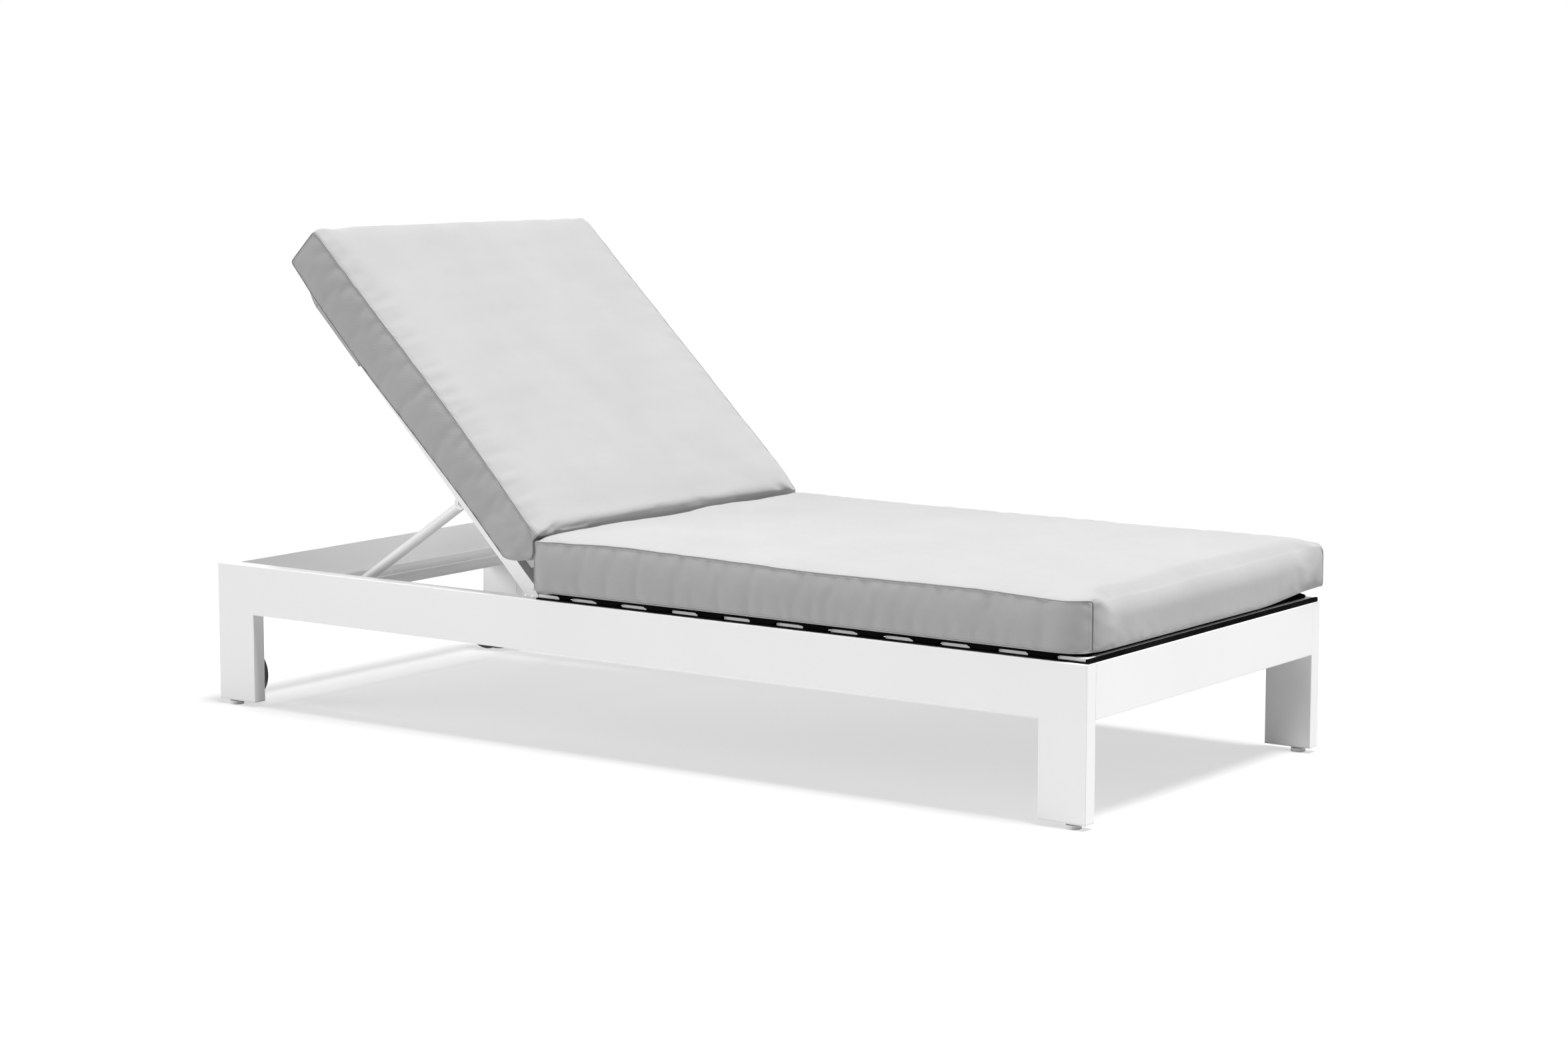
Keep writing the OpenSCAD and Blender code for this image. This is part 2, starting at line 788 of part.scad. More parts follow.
module prop_foot_bar() {
    color(white) on_prop() translate([-prop_l, 0, 0]) difference() {
        rod_y(-bar_half, bar_half, bar_d);
        rod_y(-bar_half - over, bar_half + over, bar_d - 2 * bar_wall);
    }
}

module prop_end_cap() {
    on_prop() translate([-prop_l, 0, 0]) {
        rod_y(-bar_half - bar_cap_t, -bar_half, bar_d);
        rod_y(-bar_half - over, bar_cap_in - bar_half, bar_d - 2 * bar_wall - 2 * plug_gap);
    }
}

module back_cushion() {
    color(pad_grey) on_back() translate([-(back_pad_low + back_pad_high) / 2, 0, back_front + soft_gap])
        cushion(back_pad_l, frame_w, back_pad_t, back_pad_corner);
}

module cushion_hood() {
    low = back_pad_high - hood_l;
    color(pad_grey) on_back() difference() {
        block([-back_pad_high, -hood_half, -hood_behind], [-low, hood_half, back_front + soft_gap]);
        block([hood_t - back_pad_high, hood_t - hood_half, hood_t - hood_behind],
              [over - low, hood_half - hood_t, back_front + soft_gap + over]);
    }
}

color(white) side_rail();  // side_rail_near
color(white) mirror([0, 1, 0]) side_rail();  // side_rail_far
color(white) end_rail(head_x);  // head_rail
color(white) end_rail(foot_x - rail_t);  // foot_rail
color(white) head_leg();  // leg_near_head
color(white) foot_leg();  // leg_near_foot
color(white) mirror([0, 1, 0]) head_leg();  // leg_far_head
color(white) mirror([0, 1, 0]) foot_leg();  // leg_far_foot
color(white) mirrored() for (i = [0, 1]) leg_plug(i);  // leg_plugs
color(nylon) mirrored() for (i = [0, 1]) leg_glide(i);  // leg_glides
head_cross_tube();
rail_strips();
slat_bar(end_slat_x, end_slat_w);  // seat_end_slat
for (i = [1 : slat_count]) {
    slat_bar(slat_starts[i - 1], slat_w);
}
color(steel) mirrored() for (x = screw_slat_xs) slat_screw(x);  // slat_screws
seat_underside();
seat_cushion();
color(white) mirrored() hinge_plate();  // hinge_plates
color(steel) mirrored() hinge_pin();  // hinge_pins
axle_washers();
color(steel) mirrored() {  // cap_nuts
    cap_nut(hinge_x, hinge_z, hinge_nut_y);
    cap_nut(wheel_x, wheel_z, wheel_nut_y);
}
frame_screws();
color(white) rack();  // rack_near
color(white) mirror([0, 1, 0]) rack();  // rack_far
color(steel) mirrored() wheel_axle();  // wheel_axles
color(nylon) mirrored() hinge_bush();  // hinge_bushes
color(white) back_tube();  // back_tube_near
color(white) mirror([0, 1, 0]) back_tube();  // back_tube_far
back_cross_tube(back_top_from);  // back_top_tube
back_cross_tube(back_bottom_from);  // back_bottom_tube
color(black) mirrored() back_plug();  // back_plugs
for (i = [1 : back_slat_count]) {
    back_slat(i - 1);
}
color(white) mirrored() prop_bracket();  // prop_brackets
color(steel) mirrored() prop_pivot_bolt();  // prop_pivot_bolts
color(steel) mirrored() {  // prop_pivot_washers
    prop_pivot_washer(bracket_in_y);
    prop_pivot_washer(eye_in_y - side_play);
}
color(steel) mirrored() prop_pivot_nut();  // prop_pivot_nuts
color(white) prop_arm();  // prop_arm_near
color(white) mirror([0, 1, 0]) prop_arm();  // prop_arm_far
prop_foot_bar();
color(black) mirrored() prop_end_cap();  // prop_end_caps
back_cushion();
cushion_hood();
color(black) wheel_tyre();  // wheel_tyre_near
color(black) wheel_hub();  // wheel_hub_near
color(black) mirror([0, 1, 0]) wheel_tyre();  // wheel_tyre_far
color(black) mirror([0, 1, 0]) wheel_hub();  // wheel_hub_far
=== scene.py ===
# %% [markdown]
# # An adjustable lounger with two cushions
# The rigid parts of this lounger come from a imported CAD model, which is loaded here as a fixed frame. The
# script adds what CAD leaves out: the sewn cushions, the pocket that holds the back cushion on its frame,
# and the finish of every part.

# %% Load the frame
import json
import bpy
import numpy as np
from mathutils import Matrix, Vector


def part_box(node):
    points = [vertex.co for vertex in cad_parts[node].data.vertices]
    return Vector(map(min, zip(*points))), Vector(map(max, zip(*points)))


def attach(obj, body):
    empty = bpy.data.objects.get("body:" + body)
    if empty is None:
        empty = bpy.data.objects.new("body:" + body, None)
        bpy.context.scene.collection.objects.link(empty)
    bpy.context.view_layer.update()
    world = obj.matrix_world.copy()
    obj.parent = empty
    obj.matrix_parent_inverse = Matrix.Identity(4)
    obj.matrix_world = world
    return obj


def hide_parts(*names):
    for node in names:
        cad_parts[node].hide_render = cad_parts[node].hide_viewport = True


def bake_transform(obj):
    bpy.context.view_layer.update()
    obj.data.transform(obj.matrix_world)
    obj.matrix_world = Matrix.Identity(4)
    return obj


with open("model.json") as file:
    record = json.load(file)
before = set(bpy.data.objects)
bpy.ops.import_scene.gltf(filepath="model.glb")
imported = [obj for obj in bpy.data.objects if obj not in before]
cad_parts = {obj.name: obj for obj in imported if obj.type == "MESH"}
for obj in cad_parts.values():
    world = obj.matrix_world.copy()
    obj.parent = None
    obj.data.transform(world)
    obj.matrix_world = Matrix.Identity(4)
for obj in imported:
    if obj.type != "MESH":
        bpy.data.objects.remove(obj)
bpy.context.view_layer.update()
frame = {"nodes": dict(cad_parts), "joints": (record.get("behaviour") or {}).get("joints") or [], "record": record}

# %% [markdown]
# ## Where things are
# X runs from the head end to the foot end, Y across to the far side, and Z up from the floor. The back is
# tilted, so its pieces are drawn in the back's own directions: up the back from the hinge, across, and out
# of its front. The hinge and the tilt come from the record, so nothing is measured twice.

# %% Directions of the tilted back
joints = {joint["name"]: joint for joint in frame["joints"]}
hinge = np.array(joints["backrest_recline"]["pos_m"])
recline = np.radians(-joints["backrest_recline"]["range_deg"][0])
up_back = np.array([-np.cos(recline), 0.0, np.sin(recline)])
out_front = np.array([np.sin(recline), 0.0, np.cos(recline)])
across = np.array([0.0, 1.0, 0.0])


def on_back(up, y, out):
    """Point = hinge + up along the back + y across it + out of its front."""
    return hinge + up[..., None] * up_back + y[..., None] * across + out[..., None] * out_front


def reach(node, direction, origin):
    """Lowest and highest distance of a CAD node's points from an origin, along a direction."""
    mesh = frame["nodes"][node].data
    flat = np.empty(len(mesh.vertices) * 3)
    mesh.vertices.foreach_get("co", flat)
    along = (flat.reshape(-1, 3) - origin) @ direction
    return along.min(), along.max()


pad_low, pad_high = reach("back_cushion", up_back, hinge)
pad_back, pad_front = reach("back_cushion", out_front, hinge)
print("back cushion: %.3f to %.3f up the back" % (pad_low, pad_high))
print("back cushion: %.3f to %.3f out of its front" % (pad_back, pad_front))

# %% [markdown]
# ## Camera
# The photograph looks down at the foot end's near corner from about 7 m away, through a lens that is long
# for the frame. Its place and angle were worked out from the frame's straight edges.

# %% Camera
camera_data = bpy.data.cameras.new("camera")
camera_data.lens = 82.29         # mm, from the fit
camera_data.sensor_width = 36.0
camera = bpy.data.objects.new("camera", camera_data)
camera.location = (4.1207, -5.6039, 1.3591)
camera_turn, camera_pitch = np.radians([35.673, 7.817])
camera.rotation_euler = (np.pi / 2 - camera_pitch, 0.0, camera_turn)
bpy.context.scene.collection.objects.link(camera)
bpy.context.scene.camera = camera
bpy.context.scene.view_settings.view_transform = "Standard"
print("camera looks along %.1f degrees, %.1f degrees down" % tuple(np.degrees([camera_turn, camera_pitch])))

# %% [markdown]
# ## Node helpers
# Every finish is built from nodes. These helpers add a node with its values and join it to others, so each
# material below reads like a recipe.

# %% Helpers for materials
def node(material, kind, inputs=None, **settings):
    """Adds one node to a material or to the world, sets its options and its inputs, and joins an input where
    it is given a socket."""
    made = material.node_tree.nodes.new(kind)
    for name, value in settings.items():
        setattr(made, name, value)
    for key, value in (inputs or {}).items():
        if isinstance(value, bpy.types.NodeSocket):
            material.node_tree.links.new(value, made.inputs[key])
        else:
            made.inputs[key].default_value = value
    return made


def finish_material(name, roughness, metallic=0.0):
    """A new material with its shader, ready for colour and bump."""
    material = bpy.data.materials.new(name)
    material.use_nodes = True
    shader = material.node_tree.nodes["Principled BSDF"]
    shader.inputs["Roughness"].default_value = roughness
    shader.inputs["Metallic"].default_value = metallic
    return material, shader


def two_tone(material, shader, place, low, high, scale, detail=3.0):
    """Colour that drifts between two tones with a soft noise."""
    noise = node(material, "ShaderNodeTexNoise", {"Vector": place, "Scale": scale, "Detail": detail})
    ramp = node(material, "ShaderNodeValToRGB", {"Fac": noise.outputs["Fac"]})
    ramp.color_ramp.elements[0].position, ramp.color_ramp.elements[1].position = 0.35, 0.65
    ramp.color_ramp.elements[0].color = (*low, 1.0)
    ramp.color_ramp.elements[1].color = (*high, 1.0)
    material.node_tree.links.new(ramp.outputs["Color"], shader.inputs["Base Color"])
    return ramp


def add_bump(material, shader, height, strength, depth, below=None):
    """A bump of a height socket, laid over an earlier bump where there is one."""
    inputs = {"Height": height, "Strength": strength, "Distance": depth}
    if below is not None:
        inputs["Normal"] = below.outputs["Normal"]
    bump = node(material, "ShaderNodeBump", inputs)
    material.node_tree.links.new(bump.outputs["Normal"], shader.inputs["Normal"])
    return bump


# %% [markdown]
# ## Stage and light
# The photograph is a studio shot on white: a large light above that leans to the foot end, a weaker one at
# each side, and little light from the camera. The floor is grey for bounced light and white for the camera,
# where it mixes a lit grey with a steady white, so that it keeps the soft shadow under the lounger.

# %% Floor
def white_to_camera(tree):
    """1 for rays from the camera and for mirrored or see-through rays, 0 for bounced light."""
    path = tree.nodes.new("ShaderNodeLightPath")
    most = path.outputs["Is Camera Ray"]
    for name in ("Is Glossy Ray", "Is Transmission Ray"):
        larger = tree.nodes.new("ShaderNodeMath")
        larger.operation = "MAXIMUM"
        tree.links.new(most, larger.inputs[0])
        tree.links.new(path.outputs[name], larger.inputs[1])
        most = larger.outputs[0]
    return most


white = (1.0, 1.0, 1.0, 1.0)
bounce_grey = (0.45, 0.45, 0.45, 1.0)
shadow_grey = (0.74, 0.74, 0.74, 1.0)
steady_share = 0.61
floor_half = 30.0
floor_mesh = bpy.data.meshes.new("floor")
floor_corners = np.array([[-1, -1, 0], [1, -1, 0], [1, 1, 0], [-1, 1, 0]]) * floor_half
floor_mesh.from_pydata(floor_corners.tolist(), [], [[0, 1, 2, 3]])
floor = bpy.data.objects.new("floor", floor_mesh)
bpy.context.scene.collection.objects.link(floor)

floor_finish = bpy.data.materials.new("studio_floor")
floor_finish.use_nodes = True
floor_finish.node_tree.nodes.clear()
bounce = node(floor_finish, "ShaderNodeBsdfDiffuse", {"Color": bounce_grey})
shown = node(floor_finish, "ShaderNodeBsdfDiffuse", {"Color": shadow_grey})
glow = node(floor_finish, "ShaderNodeEmission", {"Color": white, "Strength": 1.0})
shown_mix = node(floor_finish, "ShaderNodeMixShader",
                 {0: steady_share, 1: shown.outputs[0], 2: glow.outputs[0]})
floor_mix = node(floor_finish, "ShaderNodeMixShader",
                 {0: white_to_camera(floor_finish.node_tree), 1: bounce.outputs[0], 2: shown_mix.outputs[0]})
node(floor_finish, "ShaderNodeOutputMaterial", {"Surface": floor_mix.outputs[0]})
floor_mesh.materials.append(floor_finish)
print("floor is", 2 * floor_half, "m across")

# %% World
world = bpy.data.worlds.new("studio")
bpy.context.scene.world = world
world.use_nodes = True
world.node_tree.nodes.clear()
fill_level = 0.14
fill = node(world, "ShaderNodeBackground", {"Color": white, "Strength": fill_level})
backdrop = node(world, "ShaderNodeBackground", {"Color": white, "Strength": 1.0})
world_mix = node(world, "ShaderNodeMixShader",
                 {0: white_to_camera(world.node_tree), 1: fill.outputs[0], 2: backdrop.outputs[0]})
node(world, "ShaderNodeOutputWorld", {"Surface": world_mix.outputs[0]})
print("fill light of", fill_level)


# %% Lamps
def soft_sun(name, towards, level, spread):
    """A wide, even light. A white surface that faces it squarely shows level times white."""
    data = bpy.data.lights.new(name, "SUN")
    data.energy = level * np.pi
    data.angle = np.radians(spread)
    lamp = bpy.data.objects.new(name, data)
    x, y, z = towards
    lamp.rotation_euler = (np.arctan2(np.hypot(x, y), z), 0.0, np.arctan2(x, -y))
    bpy.context.scene.collection.objects.link(lamp)
    return lamp


soft_sun("light_above", (0.24, 0.03, 0.97), level=1.57, spread=20)
soft_sun("light_left", (-0.72, -0.62, 0.32), level=0.51, spread=35)
soft_sun("light_right", (0.70, 0.66, 0.26), level=0.14, spread=45)

# %% [markdown]
# ## Finishes of the rigid parts
# The frame is aluminium under a white powder coat, which is satin and has a faint orange peel. The wheels are
# black rubber on nylon hubs, and the small fasteners are stainless steel. Each is a noise-driven recipe.

# %% White powder coat
paint, shader = finish_material("white_powder_coat", roughness=0.38)
place = node(paint, "ShaderNodeTexCoord").outputs["Object"]
two_tone(paint, shader, place, (0.915, 0.917, 0.920), (0.938, 0.938, 0.936), scale=2.5)
peel = node(paint, "ShaderNodeTexNoise", {"Vector": place, "Scale": 620.0, "Detail": 2.0})
add_bump(paint, shader, peel.outputs["Fac"], strength=0.16, depth=0.0004)
shader.inputs["Specular IOR Level"].default_value = 0.45


# %% Black rubber, plastics and steel
def speckled(name, low, high, roughness, grain, depth, metallic=0.0, gloss=0.5):
    """A finish whose colour drifts a little, under a fine grain."""
    material, shader = finish_material(name, roughness, metallic)
    place = node(material, "ShaderNodeTexCoord").outputs["Object"]
    two_tone(material, shader, place, low, high, scale=18.0)
    noise = node(material, "ShaderNodeTexNoise", {"Vector": place, "Scale": grain, "Detail": 4.0})
    add_bump(material, shader, noise.outputs["Fac"], 0.3, depth)
    shader.inputs["Specular IOR Level"].default_value = gloss
    return material


rubber = speckled("black_rubber", (0.006, 0.006, 0.006), (0.012, 0.012, 0.012), 0.80, 900.0, 0.0003, gloss=0.0)
tyre = speckled("tyre_rubber", (0.014, 0.014, 0.014), (0.026, 0.026, 0.026), 0.62, 500.0, 0.0005)
hub_nylon = speckled("hub_nylon", (0.018, 0.018, 0.019), (0.030, 0.030, 0.031), 0.45, 1400.0, 0.0002)
black_cap = speckled("black_cap_plastic", (0.012, 0.012, 0.012), (0.022, 0.022, 0.022), 0.42, 1400.0, 0.0002)
white_plug = speckled("white_plug_plastic", (0.80, 0.80, 0.79), (0.85, 0.85, 0.84), 0.42, 1400.0, 0.0002)
nylon = speckled("bush_nylon", (0.68, 0.68, 0.64), (0.74, 0.74, 0.70), 0.40, 1400.0, 0.0002)
steel = speckled("stainless_steel", (0.52, 0.52, 0.53), (0.60, 0.60, 0.61), 0.28, 2200.0, 0.0001, 1.0)
print("made", len(bpy.data.materials), "materials")

# %% [markdown]
# ## Give each CAD part its finish
# The record names a material slot for each CAD part, so one table from slot to finish covers them all.

# %% Finish by slot
finish_of_slot = {
    "frame_paint": paint,
    "strip_rubber": rubber,
    "fastener_steel": steel,
    "bush_nylon": nylon,
    "plug_plastic": white_plug,
    "cap_plastic": black_cap,
    "tyre_rubber": tyre,
    "hub_plastic": hub_nylon,
}
slot_of_node = {part["node"]: part["material_slot"] for part in frame["record"]["subparts"]}
for name, part in frame["nodes"].items():
    finish = finish_of_slot.get(slot_of_node[name])
    if finish is not None:
        part.data.materials.clear()
        part.data.materials.append(finish)
print("finished", sum(slot in finish_of_slot for slot in slot_of_node.values()), "CAD parts")

# %% [markdown]
# ## Cushion cloth
# The covers are a light grey outdoor canvas. Its plain weave is too fine to see from the camera's distance,
# but it softens the highlights, so the weave is drawn as yarns in the piece's own UV map, which is in metres.
# A slow noise makes the dye a little uneven, and a second one gives the loose handle of sewn cloth. A second
# UV map, called seam, holds each point's place along the nearest seam and its distance from it, so the rows
# of stitches and a painted line of shade in the seam follow the sewing wherever it goes. That line is painted
# shade: the colour is darkened where the seam's groove lies in shade beside the welt.

# %% Cloth recipe
def woven(name, low, high, yarn, roughness, depth, sheen=0.15, gloss=0.2):
    """A plain weave: height = ridge of the warp times the gaps of the weft, and the other way round."""
    material, shader = finish_material(name, roughness)
    uv = node(material, "ShaderNodeTexCoord").outputs["UV"]
    place = node(material, "ShaderNodeTexCoord").outputs["Object"]
    dye = two_tone(material, shader, place, low, high, scale=5.0, detail=4.0)
    split = node(material, "ShaderNodeSeparateXYZ", {"Vector": uv})
    waves = []
    for axis in ("X", "Y"):
        turns = node(material, "ShaderNodeMath", {0: split.outputs[axis], 1: np.pi / yarn},
                     operation="MULTIPLY")
        wave = node(material, "ShaderNodeMath", {0: turns.outputs[0]}, operation="SINE")
        waves.append(wave.outputs[0])
    crossing = node(material, "ShaderNodeMath", {0: waves[0], 1: waves[1]}, operation="MULTIPLY")
    below = add_bump(material, shader, crossing.outputs[0], strength=0.5, depth=depth)
    handle = node(material, "ShaderNodeTexNoise", {"Vector": place, "Scale": 42.0, "Detail": 3.0})
    last = add_bump(material, shader, handle.outputs["Fac"], strength=0.12, depth=0.004, below=below)
    shader.inputs["Sheen Weight"].default_value = sheen
    shader.inputs["Sheen Roughness"].default_value = 0.6
    shader.inputs["Specular IOR Level"].default_value = gloss
    return material, shader, dye, last


cushion_cloth, shader, dye, handle_bump = woven(
    "grey_canvas", (0.410, 0.411, 0.412), (0.428, 0.429, 0.429), 0.0011, 0.9, 0.00018)
base_cloth = woven("black_base_cloth", (0.003, 0.003, 0.003), (0.007, 0.007, 0.007), 0.0016, 0.95, 0.0003,
                   sheen=0.0, gloss=0.0)[0]
print("cloth:", cushion_cloth.name, "and", base_cloth.name)

# %% Stitches beside the seams, and painted shade in the seams
stitch_in = 0.0055
stitch_pitch = 0.0042
seam_map = node(cushion_cloth, "ShaderNodeUVMap", uv_map="seam")
split = node(cushion_cloth, "ShaderNodeSeparateXYZ", {"Vector": seam_map.outputs[0]})
off_row = node(cushion_cloth, "ShaderNodeMath", {0: split.outputs["Y"], 1: stitch_in}, operation="SUBTRACT")
off_row = node(cushion_cloth, "ShaderNodeMath", {0: off_row.outputs[0]}, operation="ABSOLUTE")
in_row = node(cushion_cloth, "ShaderNodeMath", {0: off_row.outputs[0], 1: 0.0005}, operation="LESS_THAN")
turns = node(cushion_cloth, "ShaderNodeMath", {0: split.outputs["X"], 1: 2 * np.pi / stitch_pitch},
             operation="MULTIPLY")
wave = node(cushion_cloth, "ShaderNodeMath", {0: turns.outputs[0]}, operation="SINE")
on_stitch = node(cushion_cloth, "ShaderNodeMath", {0: wave.outputs[0], 1: -0.3}, operation="GREATER_THAN")
stitch = node(cushion_cloth, "ShaderNodeMath", {0: in_row.outputs[0], 1: on_stitch.outputs[0]},
              operation="MULTIPLY")
add_bump(cushion_cloth, shader, stitch.outputs[0], strength=0.6, depth=0.0005, below=handle_bump)
thread = node(cushion_cloth, "ShaderNodeMix", {"Factor": stitch.outputs[0], 6: dye.outputs["Color"],
                                               7: (0.33, 0.33, 0.335, 1.0)}, data_type="RGBA")
# Painted shade: up to about 2 mm from the seam the colour is drawn towards near black, standing in for the shade
# in the seam's groove beside the welt.
seam_shade_share = node(cushion_cloth, "ShaderNodeMapRange", {"Value": split.outputs["Y"], "From Min": 0.0012,
                                                     "From Max": 0.0022, "To Min": 0.75, "To Max": 0.0})
seam_shade_line = node(cushion_cloth, "ShaderNodeMix", {"Factor": seam_shade_share.outputs[0], 6: thread.outputs[2],
                                                  7: (0.05, 0.05, 0.05, 1.0)}, data_type="RGBA")
cushion_cloth.node_tree.links.new(seam_shade_line.outputs[2], shader.inputs["Base Color"])
print("stitches every %.1f mm, %.1f mm from the seam" % (1000 * stitch_pitch, 1000 * stitch_in))

# %% [markdown]
# ## Surfaces from grids
# Each new piece is a surface: a function of its parameters, worked out for a whole grid of points at once.
# These helpers turn such grids into meshes.

# %% Mesh helpers
def cells(rows, columns, closed=False):
    """Corner numbers of a grid's cells. A closed grid joins its last column to its first."""
    i, j = np.meshgrid(np.arange(rows - 1), np.arange(columns - (not closed)), indexing="ij")
    k = (j + 1) % columns
    here, below = i * columns, (i + 1) * columns
    return np.stack([here + j, below + j, below + k, here + k], axis=-1).reshape(-1, 4)


def new_piece(name, points, faces, uv, material, seam_uv=None):
    """A smooth mesh object from points, four-cornered faces and one UV pair for each face's corners. A piece
    without seams gets a seam map that is 1 m from any seam."""
    mesh = bpy.data.meshes.new(name)
    mesh.from_pydata(points.reshape(-1, 3).tolist(), [], faces.tolist())
    for layer_name, values in (("cloth", uv), ("seam", np.ones(uv.shape) if seam_uv is None else seam_uv)):
        layer = mesh.uv_layers.new(name=layer_name)
        layer.data.foreach_set("uv", np.ascontiguousarray(values, dtype=np.float32).ravel())
    mesh.polygons.foreach_set("use_smooth", np.ones(len(mesh.polygons), dtype=bool))
    mesh.materials.append(material)
    mesh.update()
    piece = bpy.data.objects.new(name, mesh)
    bpy.context.scene.collection.objects.link(piece)
    return piece


def points_of(mesh):
    """A mesh's points as an array of rows."""
    flat = np.empty(len(mesh.vertices) * 3, dtype=np.float32)
    mesh.vertices.foreach_get("co", flat)
    return flat.reshape(-1, 3).astype(float)


print("a 3 by 3 grid has", len(cells(3, 3)), "cells")


# %% Curves
def smooth_step(t):
    """0 below 0, 1 above 1, and an even S between them."""
    t = np.clip(t, 0.0, 1.0)
    return t * t * (3.0 - 2.0 * t)


def ripples(seed, count, longest, shortest):
    """A sum of cosine waves of random length, direction and phase, scaled to lie within about 1."""
    draw = np.random.default_rng(seed)
    length = np.exp(draw.uniform(np.log(shortest), np.log(longest), count))
    turn, phase = draw.uniform(0, 2 * np.pi, (2, count))
    size = length / length.sum()

    def height(x, y):
        wave = x[..., None] * np.cos(turn) + y[..., None] * np.sin(turn)
        return 2.0 * (size * np.cos(2 * np.pi * wave / length + phase)).sum(-1)

    return height


def soft_line(places, heights, blur):
    """A line through measured heights, with its corners rounded: the mean of the straight line at five
    places up to a blur away on either side."""
    shifts = np.linspace(-blur, blur, 5)

    def height(x):
        return np.mean([np.interp(x + shift, places, heights) for shift in shifts], axis=0)

    return height


print("smooth_step goes", smooth_step(np.linspace(0, 1, 5)).round(2))

# %% [markdown]
# ## A boxed cushion
# Each cushion's cover is one long panel that wraps round the top, both ends and the base, and two side
# strips, so its only seams are the outlines of the two sides. The mesh is made the same way: a grid for each
# side, in length and thickness, and rows that carry the side's outline across the width. Rows and columns lie
# close together at the seams, where the cloth turns. A surface function then gives every point its place.

# %% The cushion's mesh
def grid_lines(half, cell):
    """Grid places from -half to half: close together near the edges, closer still in a thin piece, then a
    cell apart."""
    near = np.array([0.0, 0.0025, 0.006, 0.011, 0.018, 0.027]) * min(1.0, half / 0.060)
    count = max(2, int(round(2 * (half - near[-1]) / cell)))
    middle = np.linspace(-half + near[-1], half - near[-1], count + 1)
    return np.concatenate([-half + near[:-1], middle, half - near[:-1][::-1]])


def boxed_cushion(a, b, h, cell, surface):
    """One closed mesh for a cushion of half length a, half width b and half thickness h, in flat places x, y
    and z. surface(x, y, z) gives the points. Returns points, faces, both UV maps, flat places and the rings
    of point numbers along both seams."""
    xs, ys, zs = grid_lines(a, cell), grid_lines(b, cell), grid_lines(h, cell)
    gx, gz = np.meshgrid(xs, zs, indexing="ij")
    number = np.arange(gx.size).reshape(gx.shape)
    ring = np.concatenate([number[:-1, 0], number[-1, :-1], number[:0:-1, -1], number[0, :0:-1]])
    rx, rz = gx.reshape(-1)[ring], gz.reshape(-1)[ring]
    inner = ys[1:-1]
    flat_x = np.concatenate([gx.ravel(), gx.ravel(), np.tile(rx, len(inner))])
    flat_z = np.concatenate([gz.ravel(), gz.ravel(), np.tile(rz, len(inner))])
    flat_y = np.concatenate([np.full(gx.size, -b), np.full(gx.size, b), np.repeat(inner, len(rx))])
    rows = np.vstack([ring, 2 * gx.size + np.arange(len(inner) * len(ring)).reshape(-1, len(ring)),
                      ring + gx.size])
    near_faces = cells(*gx.shape)
    far_faces = near_faces[:, ::-1] + gx.size
    wrap_faces = rows.reshape(-1)[cells(len(rows), len(ring), closed=True)]
    faces = np.concatenate([near_faces, far_faces, wrap_faces])

    step = np.hypot(np.roll(rx, -1) - rx, np.roll(rz, -1) - rz)
    around, across_y = np.meshgrid(np.concatenate([[0.0], np.cumsum(step)]), ys)
    order = cells(len(ys), len(ring) + 1)
    side_uv = np.stack([gx, gz], axis=-1).reshape(-1, 2)
    wrap_uv = np.stack([around, across_y + 1.5], axis=-1).reshape(-1, 2)
    uv = np.concatenate([side_uv[near_faces], side_uv[near_faces[:, ::-1]] + 3.0, wrap_uv[order]])
    to_end, to_edge = a - np.abs(gx), h - np.abs(gz)
    along_seam = np.where(to_edge < to_end, gx, gz)
    side_seam = np.stack([along_seam, np.minimum(to_edge, to_end)], axis=-1).reshape(-1, 2)
    wrap_seam = np.stack([around, b - np.abs(across_y)], axis=-1).reshape(-1, 2)
    seam_uv = np.concatenate([side_seam[near_faces], side_seam[near_faces[:, ::-1]], wrap_seam[order]])
    points = surface(flat_x, flat_y, flat_z)
    return points, faces, uv, seam_uv, (flat_x, flat_y, flat_z), (ring, ring + gx.size)


def bent_corners(x, z, a, h, radius):
    """Side view of the cushion: in each corner the square of side radius is bent into a quarter disc."""
    p = np.clip(np.abs(x) - (a - radius), 0.0, radius) / radius
    q = np.clip(np.abs(z) - (h - radius), 0.0, radius) / radius
    px, qz = p * np.sqrt(1 - q * q / 2), q * np.sqrt(1 - p * p / 2)
    return np.sign(x) * (np.abs(x) + radius * (px - p)), np.sign(z) * (np.abs(z) + radius * (qz - q))


print("a seam's grid lines start at", grid_lines(0.4, 0.010)[:4])

# %% [markdown]
# ## Filling the cover
# Foam pushes the cover out between its seams, and the cloth gathers where the thread holds it short. That is
# what Blender's Cloth does with a little air pressure inside: the cover starts slightly too small, with its
# seams and the parts that rest on something held still, and its threads a little longer than the start. Each
# point may then move only so far, so that the cushion keeps its size. The result is written back to the mesh.

